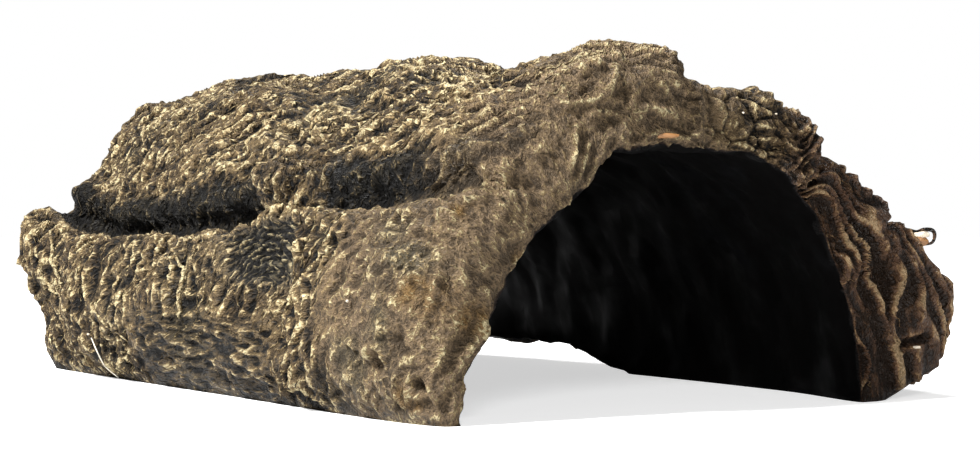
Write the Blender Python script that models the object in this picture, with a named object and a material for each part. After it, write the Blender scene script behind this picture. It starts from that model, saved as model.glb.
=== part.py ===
"""Bark reptile hide: a half log of rough bark, cast as one hollow arch that is open at both ends.

The front mouth faces -Y, +Z is up, and the origin is at the middle of the footprint on the ground.
The outer skin is a bent grid: a runs round the arch from the left foot (0) to the right foot (1),
and y runs along the log from the mouth to the tail. The hollow is a second, coarser grid, and the
two are joined along the feet and round the broken ends.
"""

import math
from typing import NamedTuple

import bmesh
import bpy
from mathutils import Vector, noise

MM = 0.001

# Driving sizes of the log.
LENGTH = 280 * MM
FRONT_Y = -LENGTH / 2
BACK_Y = LENGTH / 2
ROUND = 320 * MM

# Cells of the two skins. The hollow has half as many each way.
SKIN_AROUND = 66
SKIN_ALONG = 56
HOLLOW_STEP = 2
FRONT_ROWS = 6
BACK_ROWS = 4
FURROW_CROWDING = 1.4
FURROW_REACH = 0.018

# The broken ends roll over in a quarter ellipse, from a share of the wall's thickness at the lip out
# to the whole of it. The mouth's lip is thin up the left leg, and broken off square from the crown
# down to the right foot.
THIN_ROLL, THIN_LIP = 20 * MM, 0.40
SQUARE_ROLL, SQUARE_LIP = 7 * MM, 0.14
LIP_THICKENS = (0.29, 0.37)
BACK_ROLL, BACK_LIP = 8 * MM, 0.35
CHIPPED_RIM = 2.4 * MM

# The right foot stands clear of the ground towards the tail.
LIFT = 8.5 * MM
LIFT_STARTS = (4 * MM, 46 * MM)
LIFT_ENDS = (102 * MM, 124 * MM)
LIFT_FADES_AT = 42 * MM

# The grain: ridges slanted up towards the mouth, on broader lumps.
RIDGE_PITCH, RIDGE_HEIGHT = 13 * MM, 3.0 * MM
RIDGE_SLANT = 1.6
LUMP_PITCH, LUMP_HEIGHT = 27 * MM, 3.4 * MM

BARK_COLOUR = (0.150, 0.110, 0.078, 1.0)
BARK_ROUGHNESS = 0.85


class Section(NamedTuple):
    """The log cut across at y: feet, crown and hollow, before the plates of bark are added."""

    y: float
    left_foot: float
    right_foot: float
    crown_x: float
    crown_z: float
    squareness: float
    hollow_left: float
    hollow_right: float
    hollow_top: float


class Furrow(NamedTuple):
    """A furrow along the log between two plates of bark: its a at places along y, how far it wanders
    off them, and how much of its depth bark may have grown across."""

    places: tuple
    wander: float
    bridging: float


class Plate(NamedTuple):
    """A long plate of bark between two furrows. Each pair is for its two edges, left then right."""

    front_thickness: tuple
    back_thickness: tuple
    softness: tuple


class Spot(NamedTuple):
    """A lump (height above 0) or a scar (below 0) centred at a and y, slanted across the grain."""

    a: float
    y: float
    height: float
    reach_around: float
    reach_along: float
    slant: float


SECTIONS = [
    Section(-140 * MM, -84 * MM, 75 * MM, -8 * MM, 91 * MM, 2.15, -76 * MM, 60 * MM, 76 * MM),
    Section(-95 * MM, -86 * MM, 82 * MM, -7 * MM, 92 * MM, 2.25, -78 * MM, 69 * MM, 79 * MM),
    Section(-20 * MM, -86 * MM, 84 * MM, -6 * MM, 96 * MM, 2.35, -77 * MM, 72 * MM, 81 * MM),
    Section(70 * MM, -87 * MM, 82 * MM, -6 * MM, 98 * MM, 2.40, -77 * MM, 70 * MM, 80 * MM),
    Section(140 * MM, -87 * MM, 76 * MM, -6 * MM, 98 * MM, 2.40, -72 * MM, 62 * MM, 78 * MM),
]

# The ledge over the left flank runs low along the log and turns up steeply at the mouth.
LEDGE = (
    (-140 * MM, 0.300), (-130 * MM, 0.232), (-115 * MM, 0.199), (-80 * MM, 0.183),
    (-35 * MM, 0.168), (20 * MM, 0.142), (75 * MM, 0.134), (105 * MM, 0.148), (140 * MM, 0.174),
)

FURROWS = [
    Furrow(LEDGE, 0.003, 0.0),
    Furrow(((-140 * MM, 0.512), (140 * MM, 0.545)), 0.036, 0.9),
    Furrow(((-140 * MM, 0.721), (140 * MM, 0.700)), 0.036, 0.8),
    Furrow(((-140 * MM, 0.834), (140 * MM, 0.835)), 0.024, 0.8),
]
STEADY_REACH = 70 * MM
WANDER_PITCH = 26 * MM
BRIDGE_PITCH = 24 * MM

PLATES = [
    Plate((12 * MM, 8 * MM), (15 * MM, 16 * MM), (0.60, 0.18)),
    Plate((9 * MM, 9 * MM), (3 * MM, 8 * MM), (0.09, 0.04)),
    Plate((-1 * MM, 10 * MM), (5 * MM, 7 * MM), (0.10, 0.12)),
    Plate((5 * MM, 16 * MM), (8 * MM, 8 * MM), (0.20, 0.12)),
    Plate((15 * MM, 44 * MM), (12 * MM, 12 * MM), (0.10, 0.62)),
]

SPOTS = [
    Spot(0.430, 24 * MM, -10 * MM, 14 * MM, 30 * MM, 0.2),
    Spot(0.192, -42 * MM, 8 * MM, 7 * MM, 15 * MM, 0.0),
    Spot(0.360, 62 * MM, 3 * MM, 14 * MM, 16 * MM, 0.0),
    Spot(0.500, 20 * MM, 4 * MM, 12 * MM, 22 * MM, 0.0),
    Spot(0.470, -68 * MM, -8 * MM, 20 * MM, 26 * MM, 0.3),
    Spot(0.450, -122 * MM, 5 * MM, 16 * MM, 11 * MM, 0.0),
    Spot(0.325, 134 * MM, 5 * MM, 14 * MM, 14 * MM, 0.0),
    Spot(0.620, -30 * MM, -4 * MM, 16 * MM, 34 * MM, -0.3),
    Spot(0.890, 40 * MM, 4 * MM, 16 * MM, 26 * MM, 0.2),
    Spot(0.045, 128 * MM, -7 * MM, 11 * MM, 30 * MM, 0.0),
    Spot(0.120, 132 * MM, 6 * MM, 15 * MM, 18 * MM, 0.0),
]

# The left flank has lost its outer bark over a patch, with a sharp broken edge towards the mouth.
TORN_DEPTH = 6 * MM
TORN_EDGE = -68 * MM
TORN_EDGE_BENDS = 12 * MM
TORN_LENGTH = 66 * MM
TORN_AROUND = (0.03, 0.165)


def smooth(x):
    """0 below 0, 1 above 1, and an even curve between."""
    x = min(max(x, 0.0), 1.0)
    return x * x * (3 - 2 * x)


def blend(first, last, share):
    return first + (last - first) * share


def rounded(x):
    """Rises from 0 like a quarter circle, and stays at 1."""
    x = min(max(x, 0.0), 1.0)
    return math.sqrt(1 - (1 - x) ** 2)


def grain(a, y, scale, seed):
    """Even noise from about -1 to 1, stretched along the log. Scale is its size round the arch."""
    around = a * ROUND / scale
    return noise.fractal(Vector((around, y / scale / 1.8, seed)), 1.0, 2.0, 2)


def section_at(y):
    """The log's section at y, on a smooth curve through the stations."""
    last = len(SECTIONS) - 1
    i = 0
    while i < last - 1 and y > SECTIONS[i + 1].y:
        i += 1
    before, here = SECTIONS[max(i - 1, 0)], SECTIONS[i]
    after, beyond = SECTIONS[i + 1], SECTIONS[min(i + 2, last)]
    t = min(max((y - here.y) / (after.y - here.y), 0.0), 1.0)
    curve = [
        0.5 * (2 * q + (r - p) * t + (2 * p - 5 * q + 4 * r - s) * t**2 + (3 * q - p - 3 * r + s) * t**3)
        for p, q, r, s in zip(before, here, after, beyond)
    ]
    return Section(y, *curve[1:])


def arch(a, left, right, top_x, top_z, squareness):
    """A point on a rounded arch, and the way out of it, in the plane of the section."""
    angle = math.pi * a
    power = 2 / squareness
    across = -math.copysign(abs(math.cos(angle)) ** power, math.cos(angle))
    up = max(math.sin(angle), 0.0) ** power
    reach = top_x - left if across < 0 else right - top_x
    out = Vector((across / reach, 0.0, up / top_z)).normalized()
    return Vector((top_x + across * reach, 0.0, up * top_z)), out


def at_place(places, y):
    """A value given at places along the log: even between them, and level past the last."""
    for (start, first), (end, last) in zip(places, places[1:]):
        if y <= end:
            return blend(first, last, max((y - start) / (end - start), 0.0))
    return places[-1][1]


def furrow_at(number, y):
    """Where a furrow runs round the arch at y."""
    furrow = FURROWS[number]
    steady = smooth((y - FRONT_Y) / STEADY_REACH)
    wander = furrow.wander * steady * grain(0, y, WANDER_PITCH, 3.0 + 7 * number)
    return at_place(furrow.places, y) + wander


def bridged(number, y):
    """How far bark has grown across a furrow at y, from 0 to 1. The mouth's furrows stay open."""
    grown = smooth(2.2 * grain(0, y, BRIDGE_PITCH, 101.0 + 13 * number) + 0.1)
    grown *= FURROWS[number].bridging
    return grown * smooth((y - FRONT_Y - STEADY_REACH / 3) / STEADY_REACH)


def plate_height(a, y):
    """How far the plates of bark stand out of the core, with their edges rounded into the furrows."""
    share = min(max((y - FRONT_Y) / LENGTH, 0.0), 1.0)
    edges = [0.0] + [furrow_at(number, y) for number in range(len(FURROWS))] + [1.0]
    for number, (plate, start, end) in enumerate(zip(PLATES, edges, edges[1:])):
        if start <= a <= end:
            across = (a - start) / (end - start)
            at_left = blend(plate.front_thickness[0], plate.back_thickness[0], share)
            at_right = blend(plate.front_thickness[1], plate.back_thickness[1], share)
            rise = rounded(across / plate.softness[0])
            fall = rounded((1 - across) / plate.softness[1])
            if number > 0:
                rise = max(rise, bridged(number - 1, y))
            if number < len(FURROWS):
                fall = max(fall, bridged(number, y))
            return blend(at_left, at_right, across) * rise * fall
    return 0.0


def torn_height(a, y):
    """The patch of lost bark on the left flank."""
    edge = TORN_EDGE + TORN_EDGE_BENDS * smooth((a - 0.12) / 0.07)
    behind = y - edge
    along = smooth(behind / (4 * MM)) * smooth((TORN_LENGTH - behind) / (TORN_LENGTH * 0.7))
    around = smooth((a - TORN_AROUND[0]) / 0.04) * smooth((TORN_AROUND[1] - a) / 0.03)
    return -TORN_DEPTH * along * around


def spot_height(a, y):
    """The lumps and scars, as soft ovals slanted across the grain."""
    total = 0.0
    for spot in SPOTS:
        along = y - spot.y
        around = (a - spot.a) * ROUND - spot.slant * along
        away = (around / spot.reach_around) ** 2 + (along / spot.reach_along) ** 2
        total += spot.height * math.exp(-away)
    return total


def rough_height(a, y):
    """The rough grain that shows from a step away: slanted ridges and broad lumps."""
    slanted = a + y * RIDGE_SLANT
    ridges = grain(slanted, y, RIDGE_PITCH, 11.0) * RIDGE_HEIGHT
    lumps = grain(a, y, LUMP_PITCH, 23.0) * LUMP_HEIGHT
    return ridges + lumps


def foot_lift(point):
    """The right foot's rise from the ground at the point's place along the log."""
    rise = smooth((point.y - LIFT_STARTS[0]) / (LIFT_STARTS[1] - LIFT_STARTS[0]))
    fall = smooth((LIFT_ENDS[1] - point.y) / (LIFT_ENDS[1] - LIFT_ENDS[0]))
    side = smooth(point.x / (40 * MM))
    return LIFT * rise * fall * side * max(0.0, 1 - point.z / LIFT_FADES_AT)


def hollow_point(a, y):
    """The inner skin: a plain round arch with soft dents."""
    cut = section_at(y)
    middle = (cut.hollow_left + cut.hollow_right) / 2
    point, out = arch(a, cut.hollow_left, cut.hollow_right, middle, cut.hollow_top, 2.0)
    point += out * grain(a, y, 22 * MM, 5.0) * 1.8 * MM * math.sin(math.pi * a)
    point.y = y
    return point


def skin_point(a, y, reach):
    """The outer skin. A reach below 1 draws it in towards the hollow, as at the broken ends."""
    cut = section_at(y)
    point, out = arch(a, cut.left_foot, cut.right_foot, cut.crown_x, cut.crown_z, cut.squareness)
    free = smooth(math.sin(math.pi * a) / 0.10)
    relief = spot_height(a, y) + torn_height(a, y) + rough_height(a, y)
    point += out * (plate_height(a, y) + relief * free)
    point.y = y
    inner = hollow_point(a, y)
    return inner + (point - inner) * reach


def front_lip(a):
    """Where the mouth's lip is along the log: jagged, with the left crown plate jutting out."""
    jut = smooth((a - 0.22) / 0.12) * smooth((0.53 - a) / 0.012)
    return FRONT_Y + 4 * MM - 6 * MM * jut + 2.5 * MM * grain(a, 0, 16 * MM, 41.0)


def back_lip(a):
    """Where the tail's lip is along the log."""
    return BACK_Y - 3 * MM + 3 * MM * grain(a, 0, 20 * MM, 57.0)


def crowded_around(share, y):
    """Where a share of the grid's lines round the arch falls: closer together at the furrows."""
    if share in (0, 1):
        return share
    furrows = [furrow_at(number, y) for number in range(len(FURROWS))]

    def lines_before(a):
        return a + FURROW_CROWDING * FURROW_REACH * sum(math.tanh((a - f) / FURROW_REACH) for f in furrows)

    first, last = lines_before(0), lines_before(1)
    low, high = 0.0, 1.0
    for _ in range(16):
        middle = (low + high) / 2
        if lines_before(middle) < first + share * (last - first):
            low = middle
        else:
            high = middle
    return low


def lay_skin(mesh, step, place):
    """A grid bent into a skin by place(a, v), and its four sides as lists of edges."""
    around, along = SKIN_AROUND // step, SKIN_ALONG // step
    made = bmesh.ops.create_grid(mesh, x_segments=around, y_segments=along, size=1.0)
    verts = made["verts"]
    cells = {v: (round((v.co.x + 1) / 2 * around), round((v.co.y + 1) / 2 * along)) for v in verts}
    edges = {e for v in verts for e in v.link_edges}
    sides = {}
    for name, axis, value in (("left", 0, 0), ("right", 0, around), ("front", 1, 0), ("back", 1, along)):
        sides[name] = [e for e in edges if all(cells[v][axis] == value for v in e.verts)]
    for vert, (i, j) in cells.items():
        vert.co = place(i / around, j / along)
    return sides


def place_on_skin(share, v):
    """The skin's rows: a few round the front rim, then along the log, then a few round the back."""
    start, end = front_lip(share), back_lip(share)
    thick = smooth((share - LIP_THICKENS[0]) / (LIP_THICKENS[1] - LIP_THICKENS[0]))
    front_roll = THIN_ROLL + (SQUARE_ROLL - THIN_ROLL) * thick
    front_share = THIN_LIP + (SQUARE_LIP - THIN_LIP) * thick
    row = v * SKIN_ALONG
    reach = 1.0
    if row < FRONT_ROWS:
        turn = row / FRONT_ROWS * math.pi / 2
        y = start + front_roll * (1 - math.cos(turn))
        reach = front_share + (1 - front_share) * math.sin(turn)
        y += CHIPPED_RIM * grain(share, reach * 20 * MM, 8 * MM, 71.0) * math.sin(2 * turn)
    elif row > SKIN_ALONG - BACK_ROWS:
        turn = (SKIN_ALONG - row) / BACK_ROWS * math.pi / 2
        y = end - BACK_ROLL * (1 - math.cos(turn))
        reach = BACK_LIP + (1 - BACK_LIP) * math.sin(turn)
    else:
        along = (row - FRONT_ROWS) / (SKIN_ALONG - FRONT_ROWS - BACK_ROWS)
        y = start + front_roll + (end - BACK_ROLL - start - front_roll) * along
    point = skin_point(crowded_around(share, y), y, reach)
    point.z += foot_lift(point)
    return point


def place_in_hollow(share, v):
    """The hollow's rows run straight from lip to lip."""
    y = front_lip(share) + (back_lip(share) - front_lip(share)) * v
    point = hollow_point(crowded_around(share, y), y)
    point.z += foot_lift(point)
    return point


def bark_material():
    material = bpy.data.materials.new("bark_resin")
    material.use_nodes = True
    shader = material.node_tree.nodes["Principled BSDF"]
    shader.inputs["Base Color"].default_value = BARK_COLOUR
    shader.inputs["Roughness"].default_value = BARK_ROUGHNESS
    shader.inputs["Metallic"].default_value = 0.0
    return material


def stand_over_origin(mesh):
    """Moves the shell so that its box stands centred over the origin."""
    xs = [v.co.x for v in mesh.verts]
    ys = [v.co.y for v in mesh.verts]
    middle = Vector(((min(xs) + max(xs)) / 2, (min(ys) + max(ys)) / 2, min(v.co.z for v in mesh.verts)))
    bmesh.ops.translate(mesh, vec=-middle, verts=mesh.verts)


def bark_shell(collection):
    """The whole hide is one cast piece."""
    mesh = bmesh.new()
    skin = lay_skin(mesh, 1, place_on_skin)
    hollow = lay_skin(mesh, HOLLOW_STEP, place_in_hollow)
    for side in ("left", "right", "front", "back"):
        bmesh.ops.bridge_loops(mesh, edges=skin[side] + hollow[side])
    bmesh.ops.recalc_face_normals(mesh, faces=mesh.faces)
    stand_over_origin(mesh)
    data = bpy.data.meshes.new("bark_shell")
    mesh.to_mesh(data)
    mesh.free()
    data.materials.append(bark_material())
    data.shade_smooth()
    shell = bpy.data.objects.new("bark_shell", data)
    collection.objects.link(shell)
    return shell


def main():
    for obj in list(bpy.data.objects):
        bpy.data.objects.remove(obj)
    collection = bpy.data.collections.new("bark_reptile_hide")
    bpy.context.scene.collection.children.link(collection)
    bark_shell(collection)


main()
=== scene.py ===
"""Looks of the bark reptile hide: the fine crusted bark over the cast shell, its paint and light."""

import bisect
import itertools
import math
import random
from typing import NamedTuple

import bmesh
import bpy
import numpy as np
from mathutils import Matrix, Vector, noise
from mathutils.bvhtree import BVHTree


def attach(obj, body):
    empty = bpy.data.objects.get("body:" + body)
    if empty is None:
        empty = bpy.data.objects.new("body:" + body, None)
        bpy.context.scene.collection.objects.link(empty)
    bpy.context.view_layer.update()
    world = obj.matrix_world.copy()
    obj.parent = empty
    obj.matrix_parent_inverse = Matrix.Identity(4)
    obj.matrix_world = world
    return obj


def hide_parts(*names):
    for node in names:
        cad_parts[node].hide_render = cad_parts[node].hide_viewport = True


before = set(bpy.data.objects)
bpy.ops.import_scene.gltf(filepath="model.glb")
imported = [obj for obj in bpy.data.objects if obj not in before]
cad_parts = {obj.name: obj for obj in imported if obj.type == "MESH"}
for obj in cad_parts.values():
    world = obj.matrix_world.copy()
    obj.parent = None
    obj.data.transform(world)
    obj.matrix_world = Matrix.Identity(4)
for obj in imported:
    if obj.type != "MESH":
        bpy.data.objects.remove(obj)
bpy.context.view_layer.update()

# Blender seeds its noise from the clock, so it is set here: the bark comes out the same on each run.
NOISE_SEED = 5
noise.seed_set(NOISE_SEED)

MM = 0.001

# The photograph's camera: level, low, and turned to look along the log's left flank.
IMAGE_WIDTH = 980
FOCAL_PIXELS = 2100
HORIZON_ABOVE_MIDDLE = 12
SENSOR = 36.0
CAMERA_PLACE = Vector((-360.6, -597.5, 52.0)) * MM
CAMERA_YAW = math.radians(32.0)

# Directions on the ground: the picture's right, and away from the camera.
PICTURE_RIGHT = Vector((0.848, -0.53, 0))
AWAY = Vector((0.53, 0.848, 0))

# The log's round, for running the bark's grain round the arch and along it.
AXIS_X = -10.0
HALF_WIDTH = 84.0
HEIGHT = 97.0
SQUARENESS = 2.3
ROUND = 320.0

# The ledge between the left flank and the left crown plate: its place round the arch along the log.
LEDGE = (
    (-137, 0.300), (-127, 0.232), (-112, 0.199), (-77, 0.183), (-32, 0.168), (23, 0.142), (78, 0.134),
    (108, 0.148), (143, 0.174),
)
FRONT_Y, BACK_Y = -140.0, 140.0

# The furrows between the other plates: their places round the arch at the mouth and at the back.
FURROWS = ((0.512, 0.545), (0.721, 0.700), (0.834, 0.835))

# The patch on the left flank where the outer bark is torn off.
TORN_EDGE, TORN_EDGE_BENDS, TORN_LENGTH = -66.0, 14.0, 66.0
GROOVE_CENTRE = (23.0, -44.0)
GROOVE_PITCH = 2.3

FINE_LEVELS = 3
MOST_TRIANGLES = 190000

# The thin strands of crust: how many, the points in one, its radius, the step between its points, how
# far it wanders in degrees, and the seed of its random draws.
STRANDS = 2200
STRAND_POINTS = (5, 10)
STRAND_RADII = (0.16, 0.32)
STRAND_STEP = 1.2
STRAND_WANDER = 90
STRAND_SHAKE = 45
STRAND_SEED = 5


class Mark(NamedTuple):
    """A small place on the bark: how far round the arch from the left foot, how far along the log, its
    size, and its depth if it is a hole."""

    around: float
    along: float
    size: float
    depth: float = 0.0


# Worm holes and knots, each with a raised ring.
HOLES = (
    Mark(41.2, -68.1, 2.3, 4.5),
    Mark(52.3, -46.9, 1.9, 4.0),
    Mark(56.5, -48.3, 2.0, 2.5),
    Mark(53.2, -62.0, 2.0, 2.5),
    Mark(44.3, -83.9, 2.6, 2.0),
    Mark(21.8, 41.3, 2.2, 3.0),
    Mark(53.0, -111.0, 2.4, 1.8),
    Mark(30.0, -78.0, 2.2, 1.8),
    Mark(13.0, -116.0, 2.6, 2.0),
    Mark(8.0, -129.0, 2.2, 2.4),
)

# Ochre stains and greenish growth on the front of the left flank.
STAINS = (Mark(31.4, -130.5, 6.0), Mark(8.2, -125.0, 3.5), Mark(62.0, -130.0, 3.0))
GROWTH = (
    Mark(41.8, -123.5, 7.0), Mark(47.5, -111.5, 5.0), Mark(22.0, -118.0, 5.0), Mark(12.0, -104.0, 7.0),
)

# The crusty mass that hangs over the ledge near its middle.
CRUSTY_MASS = Mark(60.0, -45.0, 19.0)


class Strand(NamedTuple):
    """A thick strand of crust: the places that it runs through, and its radius."""

    places: tuple
    radius: float


RAISED_STRANDS = (
    Strand(
        (
            (-97.3, 8.1, 42.7), (-98.0, 3.0, 37.5), (-98.9, 3.5, 33.0), (-99.0, 1.0, 27.5),
            (-99.3, 1.5, 23.3),
        ),
        0.9,
    ),
    Strand(
        ((-98.0, 114.0, 49.0), (-99.9, 110.0, 43.0), (-101.0, 104.0, 36.0), (-102.0, 95.5, 31.5)), 0.9
    ),
    Strand(((-97.5, 121.0, 36.0), (-100.2, 113.0, 31.0), (-101.0, 106.0, 27.5)), 0.8),
    Strand(
        ((-101.0, 62.0, 26.0), (-101.5, 58.0, 22.5), (-100.5, 52.0, 18.5), (-99.5, 45.0, 14.5)), 0.5
    ),
)

# The curled strip on the right leg's outline, and the stray fibre at the left foot.
CURL = (
    (80.0, -125.0, 49.6), (82.3, -126.4, 50.6), (84.7, -127.9, 49.9), (86.6, -129.1, 50.6),
    (88.8, -130.4, 50.4), (89.4, -130.8, 48.8), (88.7, -130.4, 46.7), (86.5, -129.0, 46.0),
)
CURL_RADIUS = 0.62
FIBRE = ((-101.2, 69.6, 14.2), (-100.4, 66.2, 9.7), (-97.0, 67.8, 4.7), (-93.0, 66.0, 0.8))
FIBRE_RADIUS = 0.28

# The chips: the middle of each, and its half widths across the picture, away from the camera and up.
# The pale ones are partly white chips and partly painted glints.
PALE_CHIPS_AND_GLINTS = (
    ((86.0, -128.6, 49.2), (2.7, 0.9, 1.3)),
    ((15.6, -130.9, 83.8), (0.38, 0.5, 0.28)),
    ((25.8, -133.1, 83.7), (0.35, 0.5, 0.25)),
    ((79.2, -133.8, 15.6), (1.2, 0.7, 0.5)),
    ((-96.0, -102.2, 31.7), (0.45, 0.5, 0.40)),
    ((-101.9, 70.5, 15.4), (0.5, 0.6, 0.35)),
)
OCHRE_CHIPS = (
    ((-18.3, -139.6, 76.2), (3.8, 0.9, 0.8)),
    ((85.4, -128.2, 47.2), (3.1, 1.3, 1.6)),
)

# Places on the crown with dull grey-green wood: the scar where a branch was, and others behind it.
SCAR = (Mark(122.0, -4.0, 17.0), Mark(117.0, -30.0, 12.0), Mark(127.0, 10.0, 16.0))
DULL = SCAR + (Mark(142.0, 94.0, 12.0), Mark(119.0, 58.0, 7.0))

# How far the mouth's inner edge stands into the hollow, by how far round the arch.
LIP_SWELLS = (
    (0, 0.0), (12, 2.0), (24, 6.5), (90, 7.5), (112, 4.5), (126, 0.5), (142, 2.2), (165, 2.4),
    (190, 0.0), (218, -3.5), (245, -3.5), (265, 0.0), (320, 0.0),
)
LIP_SWELL_BACK, LIP_SWELL_LENGTH = -108.0, 24.0
MOUTH_MIDDLE, MOUTH_REACH, MOUTH_TOP = -11.3, 68.0, 76.0


def smooth(x):
    """0 below 0, 1 above 1, and an even curve between."""
    x = min(max(x, 0.0), 1.0)
    return x * x * (3 - 2 * x)


def blend(a, b, share):
    return a + (b - a) * share


def add_object(name, data):
    """A new object at the origin, in the scene."""
    obj = bpy.data.objects.new(name, data)
    bpy.context.scene.collection.objects.link(obj)
    return obj


def finished(mesh, name):
    """The mesh data of a finished bmesh."""
    data = bpy.data.meshes.new(name)
    mesh.to_mesh(data)
    mesh.free()
    return data


def camera():
    data = bpy.data.cameras.new("camera")
    data.sensor_width = SENSOR
    data.lens = SENSOR * FOCAL_PIXELS / IMAGE_WIDTH
    data.shift_y = -HORIZON_ABOVE_MIDDLE / IMAGE_WIDTH
    data.clip_start = 10 * MM
    data.clip_end = 50.0
    obj = add_object("camera", data)
    obj.location = CAMERA_PLACE
    obj.rotation_euler = (math.pi / 2, 0, -CAMERA_YAW)
    bpy.context.scene.camera = obj


# The bark's relief. Every length here is in millimetres.

# The crust: the size and reach of its bends, the sizes and heights of its flakes and crinkles, and how
# many treads a flake is cut into.
BEND_SIZE, BEND_REACH = 14, 5
FLAKE_SIZE, FLAKE_HEIGHT, FLAKE_TREADS = 10.0, 2.2, 2.6
CRINKLE_SIZE, CRINKLE_HEIGHT = 5.0, 2.8

# The broken rim, by the place round the arch: where its blocky top starts and ends, where the right
# leg's folds start, and the slit across that leg with how far out it starts and ends.
RIM_TOP_START, RIM_TOP_END = 150, 222
RIM_LEG_START = 215
SLIT_PLACE, SLIT_INNER, SLIT_OUTER = 307, 95, 113

# The kinds of bark: where the right side starts as a share of the round, where the front of the left
# flank ends, and the top, front and back of the lined strip along its foot.
RIGHT_START = 0.50
FRONT_END = -80
FOOT_TOP, FOOT_FRONT, FOOT_BACK = 24, -62, 50


def grain_place(point):
    """A point's share of the way round the arch, and its place along, round and out of the log."""
    across = (AXIS_X - point.x / MM) / HALF_WIDTH
    up = max(point.z / MM, 0.0) / HEIGHT
    power = SQUARENESS / 2
    turn = math.atan2(up**power, math.copysign(abs(across) ** power, across))
    out = math.hypot(across, up) * HEIGHT
    return turn / math.pi, Vector((turn / math.pi * ROUND, point.y / MM, out))


def steps(level):
    """Flat treads with steep risers between them, one a unit."""
    tread = math.floor(level)
    return tread + smooth((level - tread) * 3.4)


def turned(place, angle, stretch):
    """A place with its first axis across the ridges and its second along them, for ridges at an angle
    to the log's round."""
    turn = math.radians(angle)
    across = place.x * math.cos(turn) + place.y * math.sin(turn)
    along = (place.x * math.sin(turn) - place.y * math.cos(turn)) / stretch
    return Vector((across, along, place.z))


def ridge(p):
    """Sharp winding ridges with wide hollows between: 1 along a ridge and about 0 off it."""
    bent = p + noise.noise_vector(p * 0.8) * 0.6
    return 1 - min(1.0, abs(noise.noise(bent)) * 3.0)


def crust(place, angle, stretch, seed, strength):
    """Crinkled crust whose ridges run at an angle to the log's length."""
    bent = place + noise.noise_vector(place / BEND_SIZE) * BEND_REACH + Vector((0, 0, seed))
    p = turned(bent, angle, stretch)
    body = noise.fractal(p / FLAKE_SIZE, 1.0, 2.2, 2)
    flakes = steps(body * FLAKE_TREADS + 0.5) / FLAKE_TREADS
    crinkles = noise.ridged_multi_fractal(p / CRINKLE_SIZE, 0.8, 2.2, 2, 0.95, 2.2) - 1.1
    return strength * (FLAKE_HEIGHT * flakes + CRINKLE_HEIGHT * crinkles - 0.2)


def granules(place, seed):
    """Soft lumps and small round pits."""
    p = Vector((place.x, place.y * 0.8, place.z + seed))
    lumps = noise.fractal(p / 6.0, 0.9, 2.1, 3)
    near = noise.voronoi(p / 4.2)[0]
    pit = smooth(1 - near[0] / 0.42) * smooth(0.2 + 2 * noise.noise(p / 11))
    strings = ridge(turned(p, 55, 1.8) / 5.5)
    return 1.4 * lumps - 2.0 * pit + 1.0 * strings - 0.2 + 0.5 * crust(place, 52, 2.0, seed, 0.8)


def fibres(place, pitch, seed):
    """Woody ridges along the log, splitting and joining."""
    p = Vector((place.x / pitch, place.y / (pitch * 5), place.z / (pitch * 2) + seed))
    body = noise.fractal(p * 0.7, 1.0, 2.2, 3)
    return 1.5 * ridge(p) + 0.7 * ridge(p * 2.1) + 0.9 * body - 0.9


def rim_folds(place, seed):
    """The broken rim: folds along the arch, blocks at its top and deep folds down the right leg."""
    top = smooth((place.x - RIM_TOP_START) / 15) * smooth((RIM_TOP_END - place.x) / 20)
    leg = smooth((place.x - RIM_LEG_START) / 25)
    wave = noise.noise(Vector((place.x / 19, place.y / 16, place.z / 26 + seed)))
    out = place.z - 0.16 * leg * (place.x - 240)
    across_folds = out / blend(5.0, 7.5, leg) + 1.3 * wave + seed
    p = Vector((place.x / blend(22, 38, leg), place.y / 14, across_folds))
    folds = 1 - min(1.0, abs(noise.noise(p)) * 3.2)
    rough = noise.fractal(Vector((place.x / 7, place.y / 5, place.z / 4.0 + seed)), 1.0, 2.1, 3)
    block = noise.voronoi(Vector((place.x / 11, place.y / 30, place.z / 8 + seed)))[0]
    crack = top * smooth(1 - (block[1] - block[0]) / 0.16)
    across = smooth((place.z - SLIT_INNER) / 3) * smooth((SLIT_OUTER - place.z) / 3)
    slit = leg * across * smooth(1 - abs(place.x - SLIT_PLACE) / 1.7)
    height = (1.2 + 2.6 * leg) * folds + (1.3 - 0.4 * leg) * rough - 1.3 * crack - 3.0 * slit
    return height - 0.6 - 1.2 * leg


def grooves(place):
    """Bare wood in the torn patch: fine grooves that curve round a point low on the flank."""
    away = math.hypot(place.x - GROOVE_CENTRE[0], place.y - GROOVE_CENTRE[1])
    wander = 1.3 * noise.noise(place / 9.0)
    wave = 0.5 + 0.5 * math.sin(2 * math.pi * (away / GROOVE_PITCH + wander))
    rough = noise.fractal(place / 4.0, 1.0, 2.0, 3)
    return 1.6 * wave * smooth(0.6 + rough) + 0.8 * rough - 1.7


def lines(place, seed):
    """Fine level lines along the foot of the left flank."""
    p = Vector((place.x / 2.6, place.y / 14, place.z / 8 + seed))
    rough = noise.fractal(place / 5.0, 1.0, 2.0, 2)
    return 1.4 * ridge(p) + 0.9 * rough - 0.7


def hollow_dents(place):
    """The smooth inside: soft dents and a few drips down the wall."""
    return 1.6 * noise.fractal(Vector((place.x / 26, place.y / 15, 4.0)), 1.0, 2.0, 3)


def hole_height(place):
    """Worm holes: a pit with a raised ring round it."""
    total = 0.0
    for hole in HOLES:
        away = math.hypot(place.x - hole.around, place.y - hole.along) / hole.size
        if away < 2.2:
            ring = max(0.0, 1 - abs(away - 1.25) / 0.5)
            total += 0.9 * ring - hole.depth * smooth(1.15 - away)
    return total


def facing_end(normal):
    """1 on the broken rims, which face the log's ends, and 0 where the bark faces out."""
    return smooth((abs(normal.y) - 0.45) / 0.35)


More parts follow.
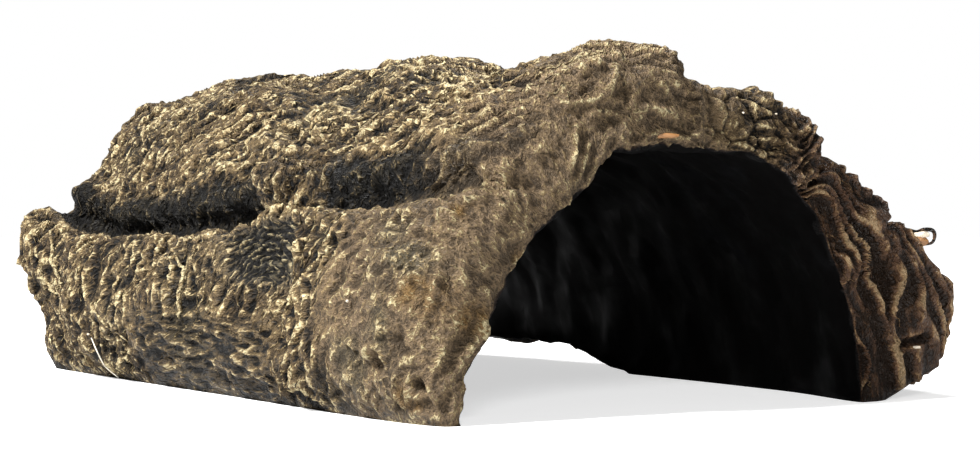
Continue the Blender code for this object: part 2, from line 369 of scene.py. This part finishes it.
def near_marks(marks, place):
    """How near a place is to the marks: 1 at one, and 0 past its size."""
    bent = place + noise.noise_vector(place / 7) * 4
    return max(smooth(1.4 - math.hypot(bent.x - m.around, bent.y - m.along) / m.size) for m in marks)


def at_place(places, x):
    """A value given at places in order: even between them, and level past the last."""
    for (start, first), (end, last) in zip(places, places[1:]):
        if x <= end:
            return blend(first, last, max((x - start) / (end - start), 0.0))
    return places[-1][1]


def ledge_at(y):
    return at_place(LEDGE, y)


def torn_share(a, y):
    """1 inside the torn patch. Its edge towards the mouth is sharp, and the others fade."""
    behind = y - (TORN_EDGE + TORN_EDGE_BENDS * smooth((a - 0.12) / 0.07))
    along = smooth(behind / 4) * smooth((TORN_LENGTH - behind) / (TORN_LENGTH * 0.6))
    return along * smooth((a - 0.082) / 0.03) * smooth((ledge_at(y) - 0.005 - a) / 0.02)


def ledge_height(a, place):
    """Cuts the bark back just over the ledge, and swells the plate's edge and the crusty mass."""
    above = (a - ledge_at(place.y)) * ROUND
    mass = near_marks((CRUSTY_MASS,), place)
    cut = smooth((above + 1.5) / 3) * smooth((10 - above) / 5) * (1 - 0.9 * mass)
    swell = smooth((above - 8) / 4) * smooth((20 - above) / 8)
    return 1.2 * swell - 3.0 * cut + 2.2 * mass * smooth((14 - abs(above - 3)) / 8)


def lip_swell(point, place):
    """How far a point near the mouth's inner edge is drawn into the hollow."""
    off_edge = math.hypot((point.x / MM - MOUTH_MIDDLE) / MOUTH_REACH, point.z / MM / MOUTH_TOP)
    back = smooth((LIP_SWELL_BACK - place.y) / LIP_SWELL_LENGTH)
    return back * smooth((1.26 - off_edge) / 0.22) * at_place(LIP_SWELLS, place.x)


def furrow_shade(a, place):
    """How deep a place lies in the ledge or in a furrow, where the dark wash collects and shade is
    painted.
    """
    y = place.y
    above = (a - ledge_at(y)) * ROUND
    ragged = 6 * noise.noise(Vector((place.x / 9, y / 9, 3)))
    shade = smooth((above + 3) / 4) * smooth((20 + ragged - above) / 7)
    shade *= 1 - 0.85 * near_marks((CRUSTY_MASS,), place)
    for front, back in FURROWS:
        line = blend(front, back, (y - FRONT_Y) / (BACK_Y - FRONT_Y))
        shade = max(shade, smooth((7 + ragged - abs(a - line) * ROUND) / 5))
    return shade


def regions(a, place):
    """The shares of the kinds of bark at a place."""
    y = place.y
    right = smooth((a - RIGHT_START) / 0.03)
    flank = (1 - right) * smooth((ledge_at(y) - a) / 0.012)
    crown = 1 - right - flank
    torn = flank * torn_share(a, y)
    foot = (flank - torn) * smooth((FOOT_TOP - place.x) / 8)
    foot = foot * smooth((y - FOOT_FRONT) / 12) * smooth((FOOT_BACK - y) / 20)
    front = (flank - torn - foot) * smooth((FRONT_END - y) / 22)
    scar = crown * near_marks(SCAR, place)
    upright = (crown - scar) * max(smooth((y - 15) / 45), smooth((24 - (a - ledge_at(y)) * ROUND) / 8))
    return {
        "slanted": crown - scar - upright,
        "upright": upright,
        "flank": flank - torn - foot - front,
        "front": front,
        "foot": foot,
        "torn": torn,
        "scar": scar,
        "right": right,
    }


PATTERNS = {
    "slanted": (crust, (40, 3.4, 0.0, 1.15)),
    "upright": (crust, (74, 2.3, 40.0, 0.8)),
    "flank": (crust, (60, 2.6, 80.0, 0.95)),
    "front": (granules, (120.0,)),
    "foot": (lines, (7.0,)),
    "torn": (grooves, ()),
    "scar": (lines, (31.0,)),
    "right": (fibres, (6.0, 9.0)),
}


def bark_relief(a, shares, place, rim):
    """Height of the fine bark over the smooth form."""
    height = 0.0
    for name, share in shares.items():
        if share > 0.01:
            pattern, values = PATTERNS[name]
            height += share * pattern(place, *values)
    height += hole_height(place) - 1.6 * shares["scar"] + ledge_height(a, place) * (1 - shares["right"])
    if rim > 0.01:
        height = blend(height, rim_folds(place, 60.0), rim)
    return height


def fine_shell():
    """A copy of the cast shell, merged into quads and cut finer with its form rounded."""
    mesh = bmesh.new()
    mesh.from_mesh(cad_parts["bark_shell"].data)
    bmesh.ops.remove_doubles(mesh, verts=mesh.verts, dist=0.00001)
    bmesh.ops.join_triangles(
        mesh, faces=mesh.faces, angle_face_threshold=3.0, angle_shape_threshold=3.0
    )
    crease = mesh.edges.layers.float.new("crease_edge")
    for edge in mesh.edges:
        if all(v.co.z < 0.1 * MM for v in edge.verts):
            edge[crease] = 1.0
    obj = add_object("bark", finished(mesh, "bark"))
    finer = obj.modifiers.new("finer", "SUBSURF")
    finer.levels = finer.render_levels = FINE_LEVELS
    bake_modifiers(obj)
    return obj


def bake_modifiers(obj):
    """Turns the object's modifiers into its mesh."""
    seen = obj.evaluated_get(bpy.context.evaluated_depsgraph_get())
    baked = bpy.data.meshes.new_from_object(seen)
    obj.modifiers.clear()
    obj.data = baked


MASKS = (
    "crest", "pit", "hollow", "wash_and_shade", "ochre", "mossy",
    "rosy", "torn", "right", "rim", "upright", "level",
)
BLUR_ROUNDS = 14


def stands_out(heights, edges):
    """How far each point stands over the mean of what is round it, for tan on crests and painted shade
    in gaps.
    """
    ends = np.array(edges)
    values = np.array(heights)
    size = len(values)
    neighbours = np.bincount(ends.ravel(), minlength=size)
    mean = values
    for _ in range(BLUR_ROUNDS):
        total = np.bincount(ends[:, 0], weights=mean[ends[:, 1]], minlength=size)
        total += np.bincount(ends[:, 1], weights=mean[ends[:, 0]], minlength=size)
        mean = (mean + total) / (1 + neighbours)
    return values - mean


def paint_masks(a, place, shares, rim):
    """What the paint reads at a place on the bark."""
    fainter = blend(0.45, 1.0, smooth((place.y + 122) / 30))
    # The ledge and the furrows get a dark wash, which is also painted shade.
    wash_and_shade = furrow_shade(a, place) * (1 - shares["torn"]) * fainter
    wash_and_shade = max(wash_and_shade, 0.4 * shares["foot"], 0.6 * near_marks(DULL, place))
    return {
        "wash_and_shade": wash_and_shade * (1 - rim),
        "ochre": near_marks(STAINS, place),
        "mossy": near_marks(GROWTH, place),
        "rosy": max(shares["front"], 0.9 * smooth((-98 - place.y) / 25) * smooth((0.62 - a) / 0.1)),
        "torn": shares["torn"] * (1 - rim),
        "right": smooth((a - 0.60) / 0.15),
        "rim": rim,
        "upright": shares["upright"] * (1 - rim) + rim,
        "level": (shares["right"] + shares["foot"]) * (1 - rim),
    }


def store_masks(data, grain, masks):
    data.attributes.new("grain", "FLOAT_VECTOR", "POINT").data.foreach_set("vector", grain)
    for name, values in masks.items():
        data.attributes.new(name, "FLOAT", "POINT").data.foreach_set("value", values)


def roughen(obj):
    """Moves each point along the form's normal by the bark's relief, and keeps what the paint reads."""
    data = obj.data
    masks = {name: [] for name in MASKS}
    grain, moved, heights = [], [], []
    for vert, shade in zip(data.vertices, data.vertex_normals):
        point, normal = vert.co, shade.vector
        a, place = grain_place(point)
        out = Vector(((point.x / MM - AXIS_X) / HALF_WIDTH, 0, point.z / MM / HEIGHT)).normalized()
        # Faces at the mouth that look out of it keep their bark, and others that face in are smooth.
        lip = smooth((-0.40 - normal.y) / 0.2) * smooth((-95 - place.y) / 10)
        hollow = smooth((-0.05 - normal.dot(out)) / 0.35) * (1 - lip)
        grounded = smooth((point.z / MM - 0.5) / 5.0)
        values = dict.fromkeys(MASKS, 0.0)
        height = 0.0
        if hollow < 0.99:
            rim = facing_end(normal) * (1 - hollow)
            shares = regions(a, place)
            height = bark_relief(a, shares, place, rim)
            values.update(paint_masks(a, place, shares, rim))
        values["hollow"] = hollow
        height = blend(height, hollow_dents(place), hollow)
        heights.append(height)
        moved.extend(point + (normal * height * grounded - out * lip_swell(point, place)) * MM)
        grain.extend(place)
        for name in MASKS:
            masks[name].append(values[name])
    over = stands_out(heights, [tuple(e.vertices) for e in data.edges])
    # Crests take brushed tan, and pits take painted shade.
    masks["crest"] = np.clip(0.5 + over / 1.4, 0.0, 1.0)
    masks["pit"] = np.clip(-(over + 0.20) / 0.7, 0.0, 1.0)
    data.vertices.foreach_set("co", moved)
    store_masks(data, grain, masks)
    data.update()


def thin_out(obj):
    """Drops the triangles that show least, to keep the piece light."""
    count = sum(len(p.vertices) - 2 for p in obj.data.polygons)
    fewer = obj.modifiers.new("fewer", "DECIMATE")
    fewer.ratio = min(1.0, MOST_TRIANGLES / count)
    fewer.use_collapse_triangulate = True
    bake_modifiers(obj)


# How thickly the strands lie on each kind of bark, and the angle in degrees that they follow.
STRAND_DENSITY = {
    "slanted": 1.0, "upright": 1.0, "flank": 0.9, "front": 0.3,
    "foot": 0.3, "torn": 0.12, "scar": 0.1, "right": 0.4,
}
STRAND_ANGLE = {
    "slanted": 40, "upright": 78, "flank": 58, "front": 62,
    "foot": 4, "torn": 20, "scar": 5, "right": 10,
}
RIM_STRAND_ANGLE = 88


def strand_path(tree, inside, start, angle, count, chance):
    """Points along one strand of crust over the bark, wandering as it goes, up to the hollow's edge."""
    point, path = start, []
    for _ in range(count):
        found, normal, face, _ = tree.find_nearest(point)
        if inside[face]:
            break
        _, place = grain_place(found)
        path.append(found + normal * 0.05 * MM)
        turn = angle + STRAND_WANDER * noise.noise(place / 4.0)
        turn = math.radians(turn + chance.uniform(-STRAND_SHAKE, STRAND_SHAKE))
        around = normal.cross(Vector((0, 1, 0)))
        if around.length < 0.3:
            around = Vector((0, 0, 1)).cross(normal)
        around.normalize()
        along = around.cross(normal)
        step = around * math.sin(turn) + along * math.cos(turn)
        point = found + step * STRAND_STEP * MM
    return path


def tubes(name, paths):
    """Closed tubes in one mesh, each along its own points with a radius in millimetres at each."""
    curve = bpy.data.curves.new(name, "CURVE")
    curve.dimensions = "3D"
    curve.bevel_depth = MM
    curve.bevel_resolution = 0
    curve.use_fill_caps = True
    for path in paths:
        spline = curve.splines.new("POLY")
        spline.points.add(len(path) - 1)
        for spot, (point, radius) in zip(spline.points, path):
            spot.co = (*point, 1.0)
            spot.radius = radius
    holder = add_object(name, curve)
    seen = holder.evaluated_get(bpy.context.evaluated_depsgraph_get())
    mesh = bmesh.new()
    mesh.from_mesh(bpy.data.meshes.new_from_object(seen))
    bpy.data.objects.remove(holder)
    bmesh.ops.remove_doubles(mesh, verts=mesh.verts, dist=0.000001)
    bmesh.ops.recalc_face_normals(mesh, faces=mesh.faces)
    data = finished(mesh, name)
    data.shade_smooth()
    return add_object(name, data)


def wear_bark(obj, crest):
    """Gives a small piece what the bark's paint reads at its place."""
    masks = {mask: [] for mask in MASKS}
    grain = []
    for vert in obj.data.vertices:
        a, place = grain_place(vert.co)
        values = dict.fromkeys(MASKS, 0.0)
        values.update(paint_masks(a, place, regions(a, place), 0.0))
        values["crest"] = crest + 0.4 * noise.noise(place / 5.0)
        grain.extend(place)
        for mask in MASKS:
            masks[mask].append(values[mask])
    store_masks(obj.data, grain, masks)
    return obj


def crust_strands(shell, tree):
    """Thin crinkled strands of crust, half sunk in the shell."""
    chance = random.Random(STRAND_SEED)
    data = shell.data
    hollow = data.attributes["hollow"].data
    starts = [p for p in data.polygons if hollow[p.vertices[0]].value < 0.02 and p.center.z > 3 * MM]
    inside = [hollow[p.vertices[0]].value > 0.1 for p in data.polygons]
    reach = list(itertools.accumulate(p.area for p in starts))
    paths = []
    while len(paths) < STRANDS:
        face = starts[bisect.bisect(reach, chance.uniform(0, reach[-1]))]
        a, place = grain_place(face.center)
        shares = regions(a, place)
        kind = max(shares, key=shares.get)
        rim = facing_end(face.normal)
        if chance.random() > STRAND_DENSITY[kind] * (1 - 0.75 * rim):
            continue
        angle = STRAND_ANGLE[kind] if rim < 0.5 else RIM_STRAND_ANGLE
        length = chance.randint(*STRAND_POINTS)
        radius = chance.uniform(*STRAND_RADII)
        path = strand_path(tree, inside, face.center, angle, length, chance)
        if len(path) < 3:
            continue
        tapers = [math.sin(math.pi * (i + 0.5) / length) ** 0.5 for i in range(length)]
        paths.append(
            [(point, radius * taper * chance.uniform(0.75, 1.2)) for point, taper in zip(path, tapers)]
        )
    return wear_bark(tubes("crust_strands", paths), 0.7)


def bent_path(places, radius, pieces=5):
    """Points in metres on a smooth bend through the places, with radii that thin towards the ends."""
    spots = [Vector(place) for place in places]
    spots = [spots[0] * 2 - spots[1], *spots, spots[-1] * 2 - spots[-2]]
    path = []
    for before, start, end, after in zip(spots, spots[1:], spots[2:], spots[3:]):
        for step in range(pieces):
            t = step / pieces
            point = start * 2 + (end - before) * t + (before * 2 - start * 5 + end * 4 - after) * t * t
            point += (start * 3 - before - end * 3 + after) * t * t * t
            path.append(point * 0.5 * MM)
    path.append(Vector(places[-1]) * MM)
    last = len(path) - 1
    thickness = [0.55 + 0.45 * math.sin(math.pi * i / last) for i in range(len(path))]
    return [(point, radius * share) for point, share in zip(path, thickness)]


def raised_strands(tree):
    """The few thick pale strands that the photograph shows one by one, laid on the shell."""
    paths = []
    for strand in RAISED_STRANDS:
        path = []
        for point, radius in bent_path(strand.places, strand.radius, 7):
            found, normal, _, _ = tree.find_nearest(point)
            wobble = noise.noise_vector(found / MM / 2.5) * 0.5
            radius *= 1 + 0.35 * noise.noise(found / MM / 1.5)
            path.append((found + (normal * 0.35 + wobble) * MM, radius))
        paths.append(path)
    return wear_bark(tubes("raised_strands", paths), 1.1)


def chips_and_glints(name, marks):
    """Small chips and painted glints with broken edges, in one mesh."""
    mesh = bmesh.new()
    for centre, (wide, deep, tall) in marks:
        made = bmesh.ops.create_icosphere(mesh, subdivisions=2, radius=1.0)
        for vert in made["verts"]:
            vert.co *= 1 + 0.35 * noise.noise(vert.co * 1.7 + Vector(centre))
            across = PICTURE_RIGHT * vert.co.x * wide + AWAY * vert.co.y * deep
            vert.co = (Vector(centre) + across + Vector((0, 0, vert.co.z * tall))) * MM
    return add_object(name, finished(mesh, name))


# Finishes.


class Nodes:
    """Short ways to place and link shader nodes in a tree."""

    def __init__(self, tree):
        self.tree = tree

    def add(self, kind, values=None, **settings):
        node = self.tree.nodes.new("ShaderNode" + kind)
        for name, value in settings.items():
            setattr(node, name, value)
        for name, value in (values or {}).items():
            socket = node.inputs[name]
            if isinstance(value, bpy.types.NodeSocket):
                self.tree.links.new(value, socket)
            else:
                socket.default_value = value
        return node

    def math(self, operation, *values, clamp=False):
        node = self.add("Math", dict(enumerate(values)), operation=operation, use_clamp=clamp)
        return node.outputs[0]

    def plus(self, first, second):
        return self.math("ADD", first, second)

    def minus(self, first, second):
        return self.math("SUBTRACT", first, second)

    def times(self, first, second):
        return self.math("MULTIPLY", first, second)

    def larger(self, first, second):
        return self.math("MAXIMUM", first, second)

    def noise(self, place, scale, detail):
        values = {"Vector": place, "Scale": scale, "Detail": detail}
        return self.add("TexNoise", values).outputs[0]

    def between(self, share, first, second):
        """A value that goes from the first to the second."""
        return self.add("Mix", {0: share, 2: first, 3: second}).outputs[0]

    def mix(self, share, first, second):
        """A colour that goes from the first to the second."""
        node = self.add("Mix", data_type="RGBA")
        for socket, value in (("Factor_Float", share), ("A_Color", first), ("B_Color", second)):
            target = next(s for s in node.inputs if s.identifier == socket)
            if isinstance(value, bpy.types.NodeSocket):
                self.tree.links.new(value, target)
            else:
                target.default_value = value
        return next(s for s in node.outputs if s.identifier == "Result_Color")

    def attribute(self, name):
        return self.add("Attribute", attribute_name=name).outputs["Fac"]

    def range(self, value, low, high):
        node = self.add("MapRange", {"Value": value, "From Min": low, "From Max": high}, clamp=True)
        return node.outputs[0]


def rgb(code):
    """A linear colour from a hex code of the colour as seen."""
    parts = [int(code[i : i + 2], 16) / 255 for i in (0, 2, 4)]
    return tuple(p / 12.92 if p < 0.04045 else ((p + 0.055) / 1.055) ** 2.4 for p in parts) + (1.0,)


# The bark's finish. Its scales are per millimetre where it reads the grain attribute, else per metre.

# The threads of the grain: how many times finer, how sharp, and their share of the height. Then the
# distance between the thin shells in the torn patch.
GRAIN_OCTAVES = ((1.0, 9.0, 0.45), (2.1, 10.0, 0.35), (4.7, 10.0, 0.20))
SHELL_PITCH = 2.1

# The heights over which tan is brushed on, over which it turns pale, and over which gaps turn dark with
# painted shade.
# Then the bump's depth in millimetres.
BRUSHED = (0.90, 1.01)
PALE = (1.00, 1.18)
GAP_SHADE_LEVELS = (0.82, 0.58)
BUMP = 3.3

# Colours as seen.
DARK_BROWN, BROWN, ROSY_BROWN = "463928", "715e42", "957e62"
TORN_GREY, GREEN_GREY, MOSS = "4a463a", "39382d", "565441"
# The dark wash colour is both a wash and painted shade.
WASH_AND_SHADE_DARK, LEG_BROWN, OCHRE = "19170f", "52392a", "8a6a3c"
DULL_TAN, PALE_TAN, LEG_TAN = "937c56", "dfcea1", "8f6c4c"
# The gap black is painted shade in gaps, pits and pores.
GAP_SHADE_BLACK, LIP_BROWN, INNER_BLACK = "0b0907", "2e2017", "080606"
# The sheen grey is painted sheen inside the hollow.
HOLLOW_BLACK, PAINTED_SHEEN_GREY = "040303", "101012"
# The cream colour is both pale chips and painted glints.
CREAM_CHIP_AND_GLINT, OCHRE_CHIP, PALE_FIBRE = "d5c8b4", "8a6138", "e9e2d2"


def stringy_grain():
    """Crinkled grain from 0 in its dark gaps to 1 on its thin winding threads."""
    group = bpy.data.node_groups.new("stringy_grain", "ShaderNodeTree")
    group.interface.new_socket("Vector", in_out="INPUT", socket_type="NodeSocketVector")
    for name, value in (("Angle", 0.0), ("Stretch", 2.0), ("Scale", 0.2)):
        socket = group.interface.new_socket(name, in_out="INPUT", socket_type="NodeSocketFloat")
        socket.default_value = value
    group.interface.new_socket("Height", in_out="OUTPUT", socket_type="NodeSocketFloat")
    n = Nodes(group)
    given = n.tree.nodes.new("NodeGroupInput").outputs
    turn = n.add("CombineXYZ", {"Z": given["Angle"]}).outputs[0]
    turned_place = n.add("Mapping", {"Vector": given["Vector"], "Rotation": turn}).outputs[0]
    squeeze = n.math("DIVIDE", 1.0, given["Stretch"])
    size = n.add("CombineXYZ", {"X": 1.0, "Y": squeeze, "Z": 1.0}).outputs[0]
    place = n.add("Mapping", {"Vector": turned_place, "Scale": size}).outputs[0]
    height = None
    for octave, sharp, share in GRAIN_OCTAVES:
        values = {"Vector": place, "Scale": n.times(given["Scale"], octave)}
        values.update({"Detail": 1.5, "Roughness": 0.6, "Distortion": 0.15})
        cells = n.add("TexNoise", values).outputs[0]
        off_line = n.math("ABSOLUTE", n.minus(cells, 0.5))
        thread = n.math("SUBTRACT", 1.0, n.times(off_line, sharp), clamp=True)
        part = n.times(thread, share)
        height = part if height is None else n.plus(height, part)
    outputs = n.tree.nodes.new("NodeGroupOutput").inputs
    n.tree.links.new(height, outputs["Height"])
    return group


def curved_grooves(n, along):
    """Thin shells that curve round the torn patch's centre, each with a lit edge over a dark gap."""
    flat = n.add("VectorMath", {0: along, 1: (1.0, 1.0, 0.0)}, operation="MULTIPLY").outputs["Vector"]
    ends = {0: flat, 1: (*GROOVE_CENTRE, 0.0)}
    away = n.add("VectorMath", ends, operation="DISTANCE").outputs["Value"]
    bends = n.noise(along, 0.11, 3.0)
    turn = n.plus(n.math("DIVIDE", away, SHELL_PITCH), n.times(bends, 4.0))
    shell = n.math("POWER", n.math("FRACT", turn), 1.5)
    return n.times(shell, n.range(n.noise(along, 0.45, 3.0), 0.25, 0.65))


def plain_paint(name, code, roughness):
    material = bpy.data.materials.new(name)
    material.use_nodes = True
    shader = material.node_tree.nodes["Principled BSDF"]
    shader.inputs["Base Color"].default_value = rgb(code)
    shader.inputs["Roughness"].default_value = roughness
    return material


def bark_paint(grain_group):
    """Dark brown resin with a dark green-grey wash that is also painted shade in the low parts,
    near-black painted shade in the gaps, and tan brushed on the crests.
    """
    material = bpy.data.materials.new("painted_bark")
    material.use_nodes = True
    n = Nodes(material.node_tree)
    shader = material.node_tree.nodes["Principled BSDF"]
    place = n.add("TexCoord").outputs["Object"]
    along = n.add("Attribute", attribute_name="grain").outputs["Vector"]
    mask = {name: n.attribute(name) for name in MASKS}

    def grain(angle, stretch, scale):
        node = material.node_tree.nodes.new("ShaderNodeGroup")
        node.node_tree = grain_group
        node.inputs["Angle"].default_value = math.radians(-angle)
        node.inputs["Stretch"].default_value = stretch
        node.inputs["Scale"].default_value = scale
        material.node_tree.links.new(along, node.inputs["Vector"])
        return node.outputs["Height"]

    def part(name, share):
        return n.times(mask[name], share)

    folded = n.times(mask["right"], mask["rim"])
    broad = n.noise(place, 28.0, 3.0)
    patches = n.noise(place, 75.0, 4.0)
    grit = n.noise(place, 1300.0, 2.0)

    height = n.between(mask["upright"], grain(42, 1.8, 0.26), grain(85, 1.5, 0.26))
    height = n.between(mask["rosy"], height, grain(60, 1.2, 0.34))
    height = n.between(mask["level"], height, grain(5, 5.0, 0.30))
    height = n.between(mask["torn"], height, curved_grooves(n, along))
    height = n.times(height, n.minus(1.0, n.times(folded, 0.5)))

    pores = n.add("TexVoronoi", {"Vector": along, "Scale": 0.30}).outputs["Distance"]
    pore = n.times(n.range(pores, 0.30, 0.12), n.range(patches, 0.42, 0.56))
    pore = n.times(pore, n.plus(0.25, part("rosy", 0.6)))

    brown = n.mix(n.range(patches, 0.35, 0.65), rgb(DARK_BROWN), rgb(BROWN))
    brown = n.mix(part("rosy", 0.75), brown, rgb(ROSY_BROWN))
    brown = n.mix(part("torn", 0.9), brown, rgb(TORN_GREY))
    brown = n.mix(n.times(n.range(broad, 0.52, 0.68), 0.5), brown, rgb(GREEN_GREY))
    brown = n.mix(part("mossy", 0.5), brown, rgb(MOSS))
    # The dark wash in the ledge and furrows is also painted shade.
    brown = n.mix(part("wash_and_shade", 0.92), brown, rgb(WASH_AND_SHADE_DARK))
    brown = n.mix(part("right", 0.8), brown, rgb(LEG_BROWN))
    brown = n.mix(n.times(mask["ochre"], n.range(patches, 0.40, 0.55)), brown, rgb(OCHRE))

    level = n.plus(n.times(height, 0.62), part("crest", 0.52))
    level = n.plus(level, n.times(patches, 0.3))
    level = n.plus(level, n.times(grit, 0.25))
    level = n.minus(level, part("wash_and_shade", 0.18))
    broken = n.times(folded, n.range(patches, 0.42, 0.60))
    level = n.plus(level, n.times(n.minus(mask["crest"], 0.45), n.times(broken, 0.6)))
    level = n.plus(level, n.times(mask["torn"], n.minus(n.times(height, 0.7), 0.25)))

    dulled = n.larger(part("wash_and_shade", 0.65), part("right", 0.3))
    dulled = n.larger(dulled, part("torn", 0.55))
    brushed = n.times(n.range(level, *BRUSHED), n.minus(1.0, dulled))
    tan = n.mix(n.range(level, *PALE), rgb(DULL_TAN), rgb(PALE_TAN))
    tan = n.mix(part("right", 0.7), tan, rgb(LEG_TAN))
    colour = n.mix(brushed, brown, tan)

    # Gaps, pits and pores are painted near black: painted shade.
    gap_shade = n.larger(part("pit", 0.95), n.range(level, *GAP_SHADE_LEVELS))
    gap_shade = n.times(gap_shade, n.minus(1.0, n.larger(part("rosy", 0.35), n.times(folded, 0.15))))
    colour = n.mix(n.larger(gap_shade, pore), colour, rgb(GAP_SHADE_BLACK))
    colour = n.mix(n.range(mask["hollow"], 0.15, 0.40), colour, rgb(LIP_BROWN))
    inside = n.range(mask["hollow"], 0.45, 0.80)
    colour = n.mix(inside, colour, rgb(INNER_BLACK))

    wet = n.plus(n.times(n.range(patches, 0.35, 0.70), 0.25), part("right", 0.28))
    roughness = n.larger(n.minus(0.72, wet), inside)
    relief = n.minus(n.plus(height, n.times(grit, 0.15)), n.times(pore, 0.5))
    bump = n.add("Bump", {"Height": relief, "Distance": BUMP * MM})
    shader.inputs["Specular IOR Level"].default_value = 0.2
    links = material.node_tree.links
    links.new(colour, shader.inputs["Base Color"])
    links.new(roughness, shader.inputs["Roughness"])
    links.new(bump.outputs[0], shader.inputs["Normal"])
    return material


def hollow_paint():
    """The inside: near-black resin with faint grey patches of painted sheen, glossier there too."""
    material = bpy.data.materials.new("black_hollow")
    material.use_nodes = True
    n = Nodes(material.node_tree)
    shader = material.node_tree.nodes["Principled BSDF"]
    place = n.add("TexCoord").outputs["Object"]
    sheen_patches = n.noise(place, 55.0, 3.0)
    # Grey patches of painted sheen where the inside is also glossier.
    colour = n.mix(n.range(sheen_patches, 0.55, 0.75), rgb(HOLLOW_BLACK), rgb(PAINTED_SHEEN_GREY))
    roughness = n.minus(0.75, n.times(n.range(sheen_patches, 0.45, 0.70), 0.35))
    material.node_tree.links.new(colour, shader.inputs["Base Color"])
    material.node_tree.links.new(roughness, shader.inputs["Roughness"])
    shader.inputs["Specular IOR Level"].default_value = 0.06
    return material


def ride_as_resin(obj, paint):
    obj.data.materials.clear()
    obj.data.materials.append(paint)
    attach(obj, "root")


def bark():
    shell = fine_shell()
    roughen(shell)
    thin_out(shell)
    paint = bark_paint(stringy_grain())
    data = shell.data
    ride_as_resin(shell, paint)
    data.materials.append(hollow_paint())
    hollow = [0.0] * len(data.vertices)
    data.attributes["hollow"].data.foreach_get("value", hollow)
    for face in data.polygons:
        face.material_index = int(min(hollow[i] for i in face.vertices) > 0.9)
    data.shade_smooth()
    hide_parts("bark_shell")
    corners = [tuple(face.vertices) for face in data.polygons]
    tree = BVHTree.FromPolygons([vert.co for vert in data.vertices], corners)
    ride_as_resin(crust_strands(shell, tree), paint)
    ride_as_resin(raised_strands(tree), paint)
    curl = tubes("curled_strip", [bent_path(CURL, CURL_RADIUS)])
    ride_as_resin(wear_bark(curl, 0.3), paint)
    ride_as_resin(chips_and_glints("pale_chips_and_glints", PALE_CHIPS_AND_GLINTS), plain_paint("cream_chip_and_glint", CREAM_CHIP_AND_GLINT, 0.6))
    ride_as_resin(chips_and_glints("ochre_chip", OCHRE_CHIPS), plain_paint("ochre_chip", OCHRE_CHIP, 0.5))
    fibre = tubes("stray_fibre", [bent_path(FIBRE, FIBRE_RADIUS)])
    ride_as_resin(fibre, plain_paint("pale_fibre", PALE_FIBRE, 0.4))


# The studio.


def studio_floor():
    """A pale floor. Away from the object it glows white for the camera, so that no horizon shows."""
    mesh = bmesh.new()
    bmesh.ops.create_circle(mesh, cap_ends=True, radius=8.0, segments=96)
    data = finished(mesh, "studio_floor")
    floor = add_object("studio_floor", data)
    material = bpy.data.materials.new("pale_floor")
    material.use_nodes = True
    n = Nodes(material.node_tree)
    shader = material.node_tree.nodes["Principled BSDF"]
    shader.inputs["Base Color"].default_value = (0.85, 0.85, 0.85, 1.0)
    shader.inputs["Roughness"].default_value = 0.9
    shader.inputs["Specular IOR Level"].default_value = 0.1
    shader.inputs["Emission Color"].default_value = (1.0, 1.0, 1.0, 1.0)
    place = n.add("TexCoord").outputs["Object"]
    away = n.add("VectorMath", {0: place}, operation="LENGTH").outputs["Value"]
    seen = n.add("LightPath").outputs["Is Camera Ray"]
    glow = n.times(seen, n.plus(0.6, n.times(n.range(away, 0.15, 0.7), 0.4)))
    material.node_tree.links.new(glow, shader.inputs["Emission Strength"])
    data.materials.append(material)


def area_light(name, place, aim, size, watts):
    data = bpy.data.lights.new(name, "AREA")
    data.shape = "DISK"
    data.size = size
    data.energy = watts
    obj = add_object(name, data)
    obj.location = place
    obj.rotation_euler = (Vector(aim) - Vector(place)).to_track_quat("-Z", "Y").to_euler()


def studio_light():
    world = bpy.data.worlds.new("studio")
    bpy.context.scene.world = world
    world.use_nodes = True
    n = Nodes(world.node_tree)
    background = world.node_tree.nodes["Background"]
    background.inputs["Color"].default_value = (1.0, 1.0, 1.0, 1.0)
    seen = n.add("LightPath").outputs["Is Camera Ray"]
    strength = n.plus(0.09, n.times(seen, 0.91))
    world.node_tree.links.new(strength, background.inputs["Strength"])
    area_light("key", (-1.2, -0.1, 1.3), (0, 0, 0.05), 0.2, 74)
    area_light("top", (0.2, 0.7, 1.7), (0, 0, 0.08), 0.6, 28)
    area_light("front", (-0.7, -1.6, 1.1), (0, 0, 0.04), 0.5, 14)


bpy.context.scene.view_settings.view_transform = "Standard"
camera()
studio_floor()
studio_light()
bark()
